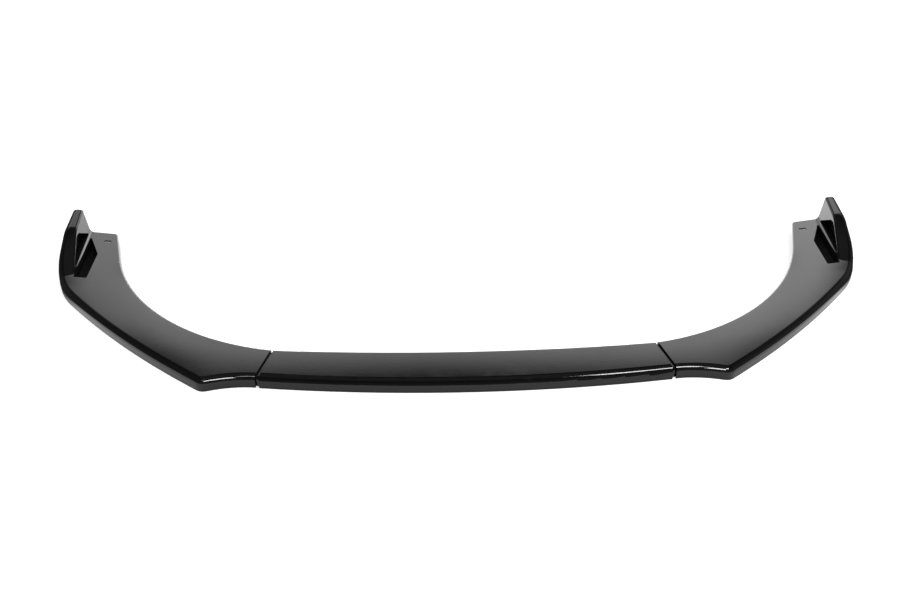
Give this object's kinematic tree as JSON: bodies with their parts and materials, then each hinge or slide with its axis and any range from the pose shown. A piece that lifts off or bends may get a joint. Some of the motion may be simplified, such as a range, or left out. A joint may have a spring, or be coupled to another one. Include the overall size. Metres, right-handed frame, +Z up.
{
  "type": "front splitter lip",
  "caption": "Moulded front splitter lip: a shallow bowed centre blade screwed to mirrored swept wings, with a rolled front edge and upright vented winglets at the ends.",
  "frame": {"origin": "centre of the lip's bounding box, on the plane of the lower rims that it rests on", "axes": "+X towards the car's left along the lip's width, -Y towards the front of the car, +Z up"},
  "size_m": [1.66, 0.5393, 0.0795],
  "materials": {
    "gloss_black": "gloss black lacquer on moulded ABS",
    "screw_steel": "zinc plated"
  },
  "bodies": {
    "root": {"centre_section": "gloss_black", "left_wing": "gloss_black", "right_wing": "gloss_black", "joint_screws": "screw_steel"}
  },
  "joints": []
}
